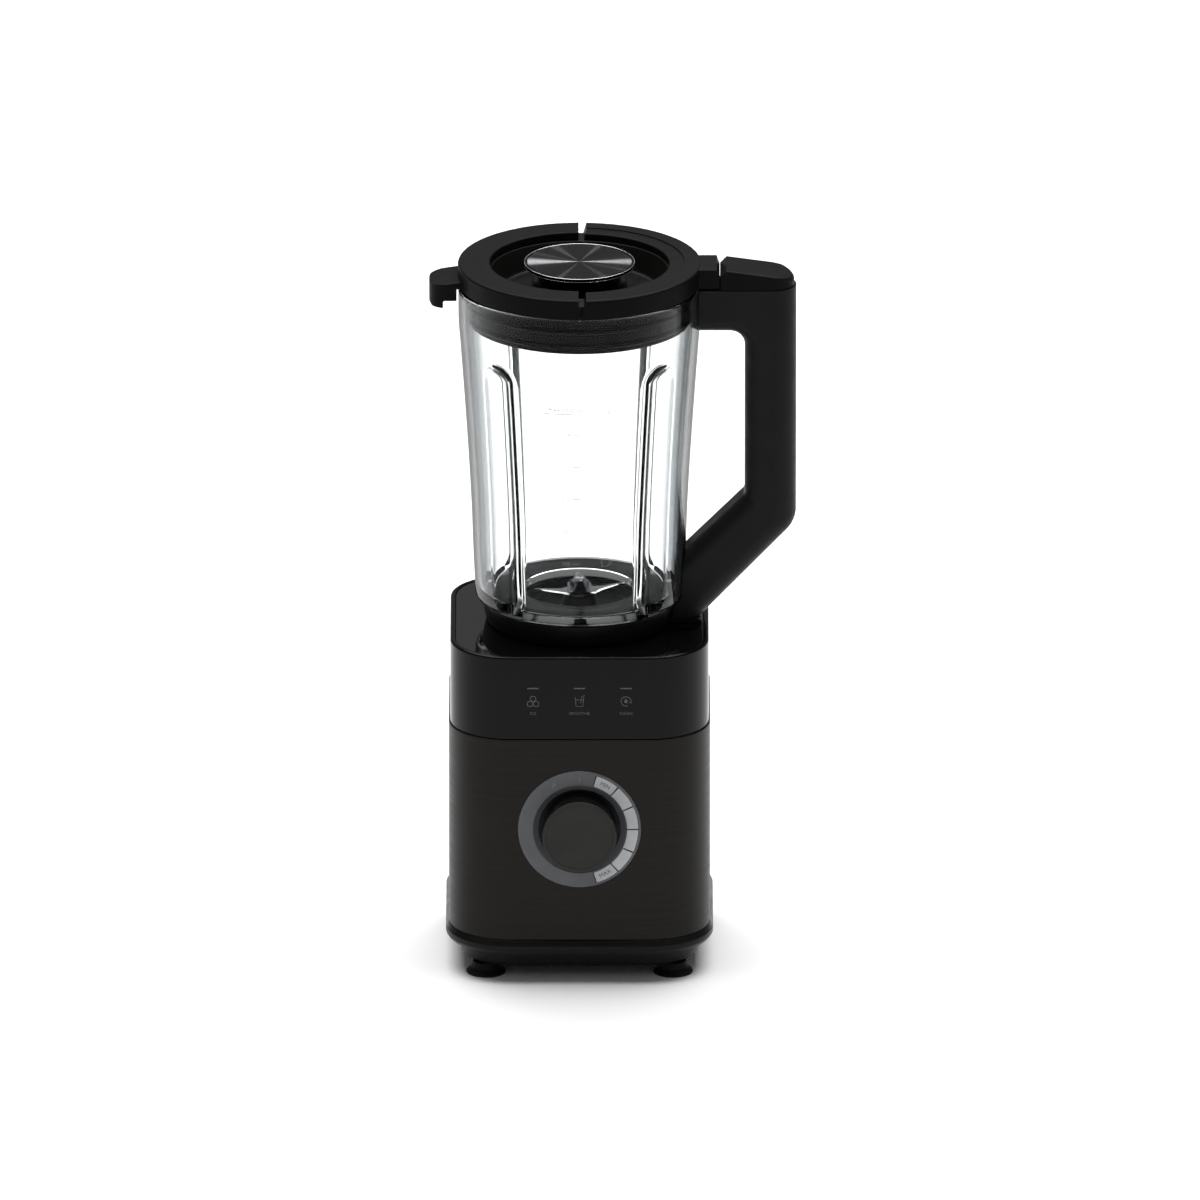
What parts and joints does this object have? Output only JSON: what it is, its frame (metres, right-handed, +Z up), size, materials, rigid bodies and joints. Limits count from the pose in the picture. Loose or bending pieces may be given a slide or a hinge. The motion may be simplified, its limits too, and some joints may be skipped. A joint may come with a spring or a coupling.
{
  "type": "countertop blender",
  "caption": "Countertop blender: square motor base with a speed dial and touch keys, ribbed glass jug with handle and blades, lid with beak and measuring cap.",
  "frame": {"origin": "on the floor under the centre of the whole object's box", "axes": "+Z up along the drive axis; the dial faces -Y; the handle is at +X and the pouring beak at -X"},
  "size_m": [0.2234, 0.173, 0.4396],
  "materials": {
    "black_plastic": "moulded black plastic with a fine satin grain",
    "soft_black": "soft-touch matt black moulding",
    "gloss_black": "piano black gloss",
    "knob_black": "matt face with a glossy side",
    "black_metal": "black coated metal, brushed across",
    "dial_grey": "satin dark grey",
    "scale_grey": "light grey translucent scale",
    "steel": "bright ground steel",
    "cast_metal": "die-cast, matt",
    "lamination": "stacked electrical steel, varnished",
    "copper": "copper and brass, lacquered",
    "black_rubber": "matt rubber",
    "circuit_board": "green solder mask",
    "clear_glass": "clear pressed glass",
    "turned_metal": "dark anodised, turned in fine rings"
  },
  "bodies": {
    "base_unit": {"foot_front_left": "black_rubber", "foot_front_right": "black_rubber", "foot_rear_left": "black_rubber", "foot_rear_right": "black_rubber", "tray_screw_front_left": "steel", "tray_screw_front_right": "steel", "tray_screw_rear_left": "steel", "tray_screw_rear_right": "steel", "bottom_tray": "black_plastic", "body_shell": "black_metal", "control_housing": "gloss_black", "top_plate": "gloss_black", "drive_seat": "black_plastic", "rotary_switch": "black_plastic", "control_board": "circuit_board", "touch_board": "circuit_board", "interlock_switch": "black_plastic", "dial_ring": "dial_grey", "speed_scale": "scale_grey", "cord_gland": "black_rubber", "lower_motor_bracket": "cast_metal", "upper_motor_bracket": "cast_metal", "lower_bearing": "steel", "upper_bearing": "steel", "stator_core": "lamination", "field_coil_left": "copper", "field_coil_right": "copper", "brush_holder_left": "copper", "brush_holder_right": "copper", "motor_mount_left": "black_rubber", "motor_mount_right": "black_rubber"},
    "dial_knob": {"control_knob": "knob_black", "knob_shaft": "steel"},
    "motor_rotor": {"motor_shaft": "steel", "armature": "lamination", "commutator": "copper", "cooling_fan": "black_plastic", "drive_coupling": "steel"},
    "interlock_plunger": {"interlock_pin": "black_plastic"},
    "jug_assembly": {"glass_jug": "clear_glass", "jug_gasket": "black_rubber", "jug_collar": "black_plastic", "blade_base": "black_plastic", "blade_bush": "copper", "handle_body": "soft_black", "handle_top_cap": "soft_black", "handle_screw": "steel"},
    "blade_assembly": {"blade_shaft": "steel", "upper_blade": "steel", "lower_blade": "steel", "blade_nut": "steel", "driven_coupling": "black_plastic"},
    "lid_assembly": {"lid_body": "black_plastic", "lid_gasket": "black_rubber", "lid_spout_ring": "soft_black", "lid_tab_ring": "soft_black"},
    "cap_assembly": {"measuring_cap": "gloss_black", "cap_disc": "turned_metal"}
  },
  "joints": [
    {"name": "knob_turn", "type": "hinge", "parent": "base_unit", "child": "dial_knob", "pos_m": [-0.02025, -0.07105, 0.1004], "axis": [0, 1, 0], "range_deg": [-30, 151]},
    {"name": "rotor_spin", "type": "hinge", "parent": "base_unit", "child": "motor_rotor", "pos_m": [-0.02025, 0.00615, 0.12], "axis": [0, 0, 1], "continuous": true},
    {"name": "interlock_travel", "type": "slide", "parent": "base_unit", "child": "interlock_plunger", "axis": [0, 0, 1], "range_m": [0, 0.0036]},
    {"name": "jug_lift", "type": "slide", "parent": "base_unit", "child": "jug_assembly", "axis": [0, 0, 1], "range_m": [0, 0.09]},
    {"name": "blade_spin", "type": "hinge", "parent": "jug_assembly", "child": "blade_assembly", "pos_m": [-0.02025, 0.00615, 0.22], "axis": [0, 0, 1], "continuous": true},
    {"name": "lid_lift", "type": "slide", "parent": "jug_assembly", "child": "lid_assembly", "axis": [0, 0, 1], "range_m": [0, 0.06]},
    {"name": "cap_lift", "type": "slide", "parent": "lid_assembly", "child": "cap_assembly", "axis": [0, 0, 1], "range_m": [0, 0.05]}
  ],
  "couplings": [
    {"joint": "blade_spin", "follows": "rotor_spin", "ratio": 1},
    {"joint": "interlock_travel", "follows": "jug_lift", "ratio": 0.04}
  ]
}
